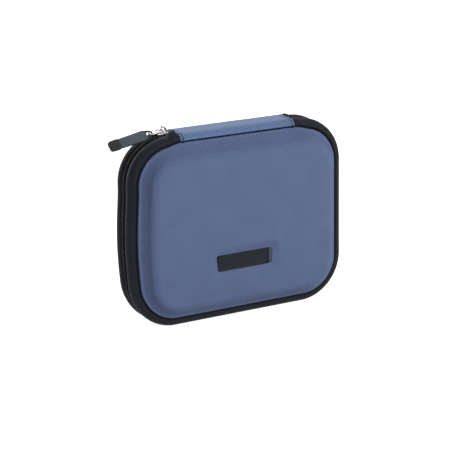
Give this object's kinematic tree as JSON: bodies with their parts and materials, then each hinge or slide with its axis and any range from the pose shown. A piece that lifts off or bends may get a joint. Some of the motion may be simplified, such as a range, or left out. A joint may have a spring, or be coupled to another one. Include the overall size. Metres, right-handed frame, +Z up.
{
  "type": "hard drive case",
  "caption": "Moulded clamshell case for a portable drive, with a zipper round three sides, a fabric hinge, a rubber pull tab and an inner strap and mesh pocket.",
  "frame": {"origin": "middle of the base half's standing foot, on the surface that the closed case stands on", "axes": "+X along the case's longer side to the right seen from the lid, +Y from the lid at the front to the base at the back, +Z up"},
  "size_m": [0.1525, 0.0392, 0.1228],
  "materials": {
    "shell_fabric": "blue twill nylon laminated on moulded foam",
    "strip_fabric": "coarser blue woven nylon, lightly padded",
    "band_fabric": "matt black woven nylon",
    "zip_tape": "black herringbone zipper tape",
    "zip_coil": "black nylon coil",
    "binding_tape": "black grosgrain binding",
    "lining_fabric": "smooth dark grey tricot",
    "label_rubber": "satin black sewn patch, bare",
    "nickel": "bright nickel plate",
    "tab_rubber": "satin grey moulded rubber",
    "cap_rubber": "dark moulded rubber",
    "elastic_webbing": "black ribbed elastic",
    "pocket_mesh": "black open mesh"
  },
  "bodies": {
    "base": {"rear_shell": "shell_fabric", "rear_lining": "lining_fabric", "rear_band": "band_fabric", "rear_binding": "binding_tape", "rear_zip_tape": "zip_tape", "rear_zip_teeth": "zip_coil", "hinge_strip_rear": "strip_fabric", "hinge_lining_rear": "lining_fabric", "drive_strap": "elastic_webbing", "strap_ends": "elastic_webbing"},
    "lid": {"front_shell": "shell_fabric", "front_lining": "lining_fabric", "front_band": "band_fabric", "front_binding": "binding_tape", "front_zip_tape": "zip_tape", "front_zip_teeth": "zip_coil", "hinge_strip_front": "strip_fabric", "hinge_lining_front": "lining_fabric", "label_patch": "label_rubber", "mesh_pocket": "pocket_mesh", "pocket_elastic": "elastic_webbing", "pocket_binding": "binding_tape"},
    "slider": {"slider_body": "nickel", "slider_crown": "nickel"},
    "link": {"pull_link": "nickel"},
    "tab": {"pull_tab": "tab_rubber", "pull_tab_cap": "cap_rubber"}
  },
  "joints": [
    {"name": "lid_hinge", "type": "hinge", "parent": "base", "child": "lid", "pos_m": [0, -0.00475, 0.11955], "axis": [-1, 0, 0], "range_deg": [0, 180], "deforming": ["front_zip_tape", "front_zip_teeth"]},
    {"name": "slider_travel", "type": "hinge", "parent": "base", "child": "slider", "pos_m": [-0.044, -0.00475, 0.0895], "axis": [0, -1, 0], "range_deg": [0, 60], "deforming": ["front_zip_tape", "front_zip_teeth", "rear_zip_tape", "rear_zip_teeth"]},
    {"name": "link_swing", "type": "hinge", "parent": "slider", "child": "link", "pos_m": [-0.04579, -0.00475, 0.12061], "axis": [0, 1, 0], "range_deg": [0, 50]},
    {"name": "tab_swing", "type": "hinge", "parent": "link", "child": "tab", "pos_m": [-0.05384, -0.00475, 0.11903], "axis": [0, 1, 0], "range_deg": [0, 45]}
  ]
}
